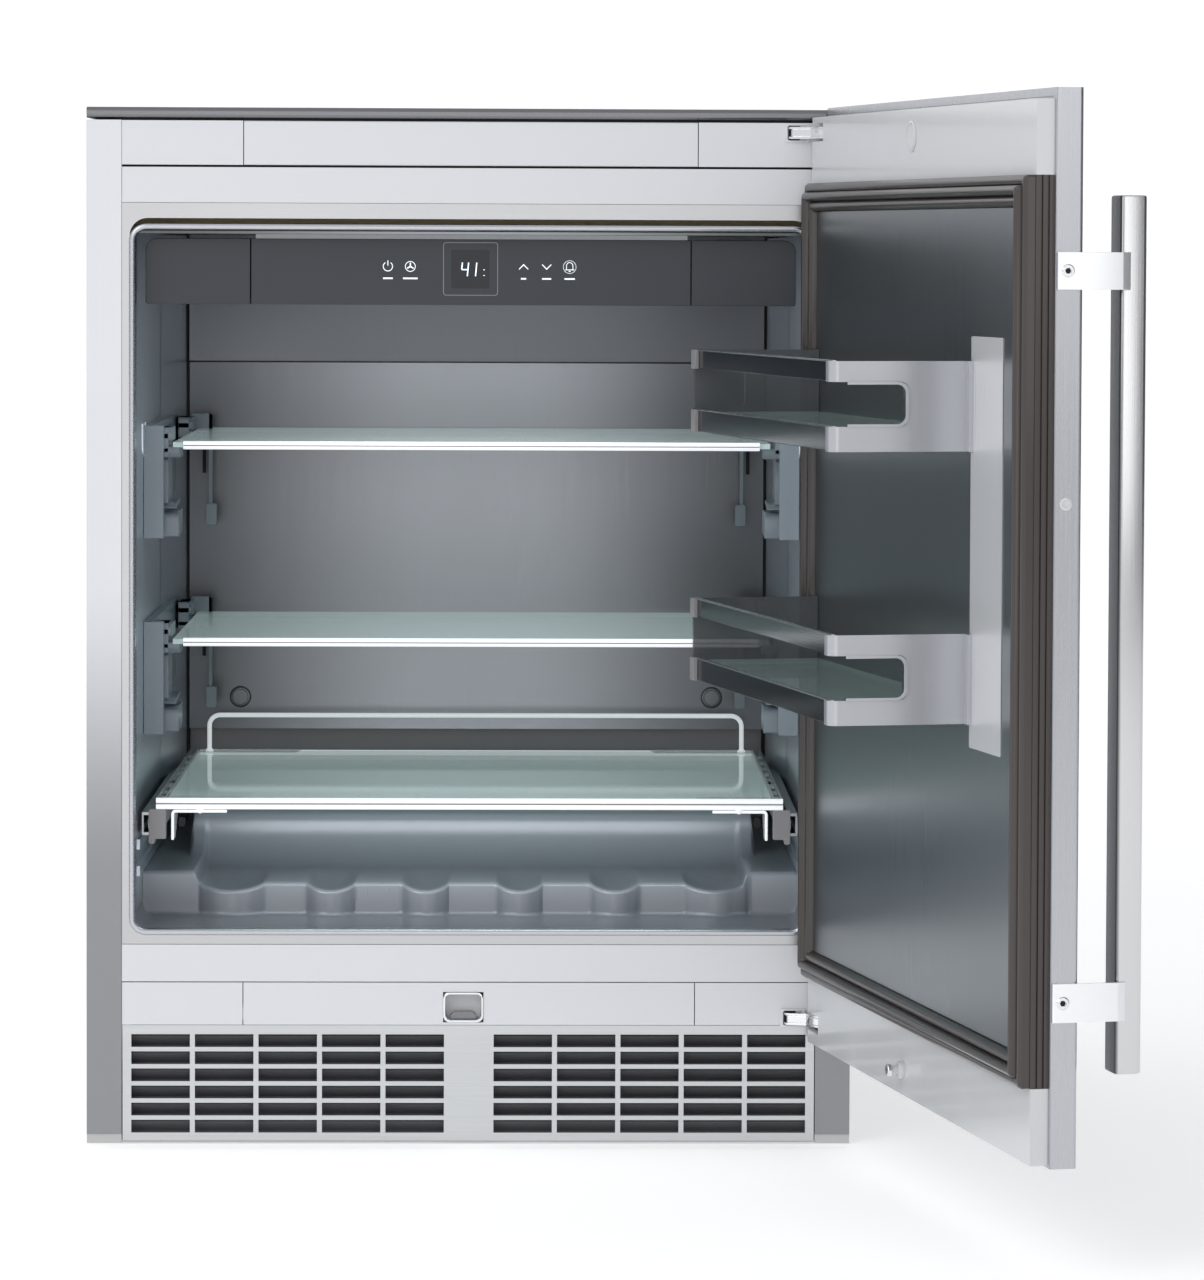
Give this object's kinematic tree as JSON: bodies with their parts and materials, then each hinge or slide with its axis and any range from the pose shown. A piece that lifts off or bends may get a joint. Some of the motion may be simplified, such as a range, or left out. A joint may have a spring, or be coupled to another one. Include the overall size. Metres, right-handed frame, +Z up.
{
  "type": "undercounter refrigerator",
  "caption": "Undercounter refrigerator with a hinged door, glass shelves, a pull-out shelf, door shelves and a louvred base grille.",
  "frame": {"origin": "middle of the underside of the base, on the floor", "axes": "+Z up, +Y towards the back, -Y towards the user, +X towards the hinge side"},
  "size_m": [0.7606, 1.1429, 0.8103],
  "materials": {
    "side_panel_left": "satin light grey",
    "side_panel_right": "satin light grey",
    "top_panel": "dark polished edge",
    "rear_panel": "galvanised grey",
    "base_plate": "galvanised grey",
    "foot_rails": "light grey",
    "liner_side_left": "brushed",
    "liner_side_right": "brushed",
    "liner_back": "brushed",
    "liner_floor": "satin",
    "foam_shell": "foam",
    "front_frame": "brushed",
    "upper_fascia": "white",
    "crossbars": "white",
    "lower_fascia": "white",
    "fascia_ends": "white",
    "lock_keeper": "polished",
    "grille": "brushed",
    "grille_fins": "black",
    "control_panel": "dark slate",
    "display_window": "dark window",
    "led_strip": "diffuser",
    "back_panel": "brushed",
    "fan_cover": "brushed",
    "duct_plugs": "grey",
    "evaporator": "mill",
    "evaporator_fan": "black",
    "evaporator_fan_frame": "black",
    "shelf_supports": "blue grey",
    "lower_shelf_glass": "clear greenish",
    "upper_shelf_glass": "clear greenish",
    "lower_shelf_trim": "polished",
    "upper_shelf_trim": "polished",
    "pullout_glass": "clear greenish",
    "pullout_frame": "polished",
    "pullout_wire": "polished wire",
    "slide_fixed": "zinc",
    "slide_middle": "zinc",
    "slide_moving": "grey caps on a steel member",
    "compressor": "black",
    "condenser": "mill",
    "condenser_fan": "black",
    "condenser_fan_frame": "black",
    "drip_tray": "light grey",
    "power_inlet": "black",
    "hinge_arms": "polished",
    "hinge_pins": "steel",
    "door_skin": "brushed",
    "door_foam": "foam",
    "door_frame": "white",
    "door_gasket": "dark brown",
    "door_inner_panel": "dark brushed",
    "door_plugs": "light grey",
    "door_stud": "bright",
    "handle_bar": "brushed",
    "handle_brackets": "bright",
    "handle_screws": "bright",
    "rack_sides": "translucent grey",
    "rack_rails": "bright edge",
    "rack_glass": "clear greenish"
  },
  "bodies": {
    "cabinet": {"side_panel_left": "side_panel_left", "side_panel_right": "side_panel_right", "top_panel": "top_panel", "rear_panel": "rear_panel", "base_plate": "base_plate", "foot_rails": "foot_rails", "liner_side_left": "liner_side_left", "liner_side_right": "liner_side_right", "liner_back": "liner_back", "liner_floor": "liner_floor", "foam_shell": "foam_shell", "front_frame": "front_frame", "upper_fascia": "upper_fascia", "crossbars": "crossbars", "lower_fascia": "lower_fascia", "fascia_ends": "fascia_ends", "lock_keeper": "lock_keeper", "grille": "grille", "grille_fins": "grille_fins", "control_panel": "control_panel", "display_window": "display_window", "led_strip": "led_strip", "back_panel": "back_panel", "fan_cover": "fan_cover", "duct_plugs": "duct_plugs", "evaporator": "evaporator", "evaporator_fan_frame": "evaporator_fan_frame", "shelf_supports": "shelf_supports", "slide_fixed": "slide_fixed", "compressor": "compressor", "condenser": "condenser", "condenser_fan_frame": "condenser_fan_frame", "drip_tray": "drip_tray", "power_inlet": "power_inlet", "hinge_arms": "hinge_arms"},
    "door": {"door_skin": "door_skin", "door_foam": "door_foam", "door_frame": "door_frame", "door_gasket": "door_gasket", "door_inner_panel": "door_inner_panel", "door_plugs": "door_plugs", "door_stud": "door_stud", "handle_bar": "handle_bar", "handle_brackets": "handle_brackets", "handle_screws": "handle_screws", "rack_sides": "rack_sides", "rack_rails": "rack_rails", "rack_glass": "rack_glass", "hinge_pins": "hinge_pins"},
    "pullout": {"pullout_glass": "pullout_glass", "pullout_frame": "pullout_frame", "pullout_wire": "pullout_wire", "slide_moving": "slide_moving"},
    "slide_middle": {"slide_middle": "slide_middle"},
    "upper_shelf": {"upper_shelf_glass": "upper_shelf_glass", "upper_shelf_trim": "upper_shelf_trim"},
    "lower_shelf": {"lower_shelf_glass": "lower_shelf_glass", "lower_shelf_trim": "lower_shelf_trim"},
    "evaporator_fan": {"evaporator_fan": "evaporator_fan"},
    "condenser_fan": {"condenser_fan": "condenser_fan"}
  },
  "joints": [
    {"name": "door_swing", "type": "hinge", "parent": "cabinet", "child": "door", "pos_m": [0.2787, -0.30045, 0.445], "axis": [0, 0, 1], "range_deg": [-101.95, 13]},
    {"name": "pullout_slide", "type": "slide", "parent": "cabinet", "child": "pullout", "axis": [0, -1, 0], "range_m": [0, 0.28]},
    {"name": "slide_middle_travel", "type": "slide", "parent": "cabinet", "child": "slide_middle", "axis": [0, -1, 0], "range_m": [0, 0.14]},
    {"name": "upper_shelf_slide", "type": "slide", "parent": "cabinet", "child": "upper_shelf", "axis": [0, -1, 0], "range_m": [0, 0.11]},
    {"name": "lower_shelf_slide", "type": "slide", "parent": "cabinet", "child": "lower_shelf", "axis": [0, -1, 0], "range_m": [0, 0.11]},
    {"name": "evaporator_fan_spin", "type": "hinge", "parent": "cabinet", "child": "evaporator_fan", "pos_m": [0, 0.206, 0.655], "axis": [0, 1, 0], "continuous": true},
    {"name": "condenser_fan_spin", "type": "hinge", "parent": "cabinet", "child": "condenser_fan", "pos_m": [-0.06, -0.199, 0.062], "axis": [0, 1, 0], "continuous": true}
  ],
  "couplings": [
    {"joint": "slide_middle_travel", "follows": "pullout_slide", "ratio": 0.5}
  ]
}
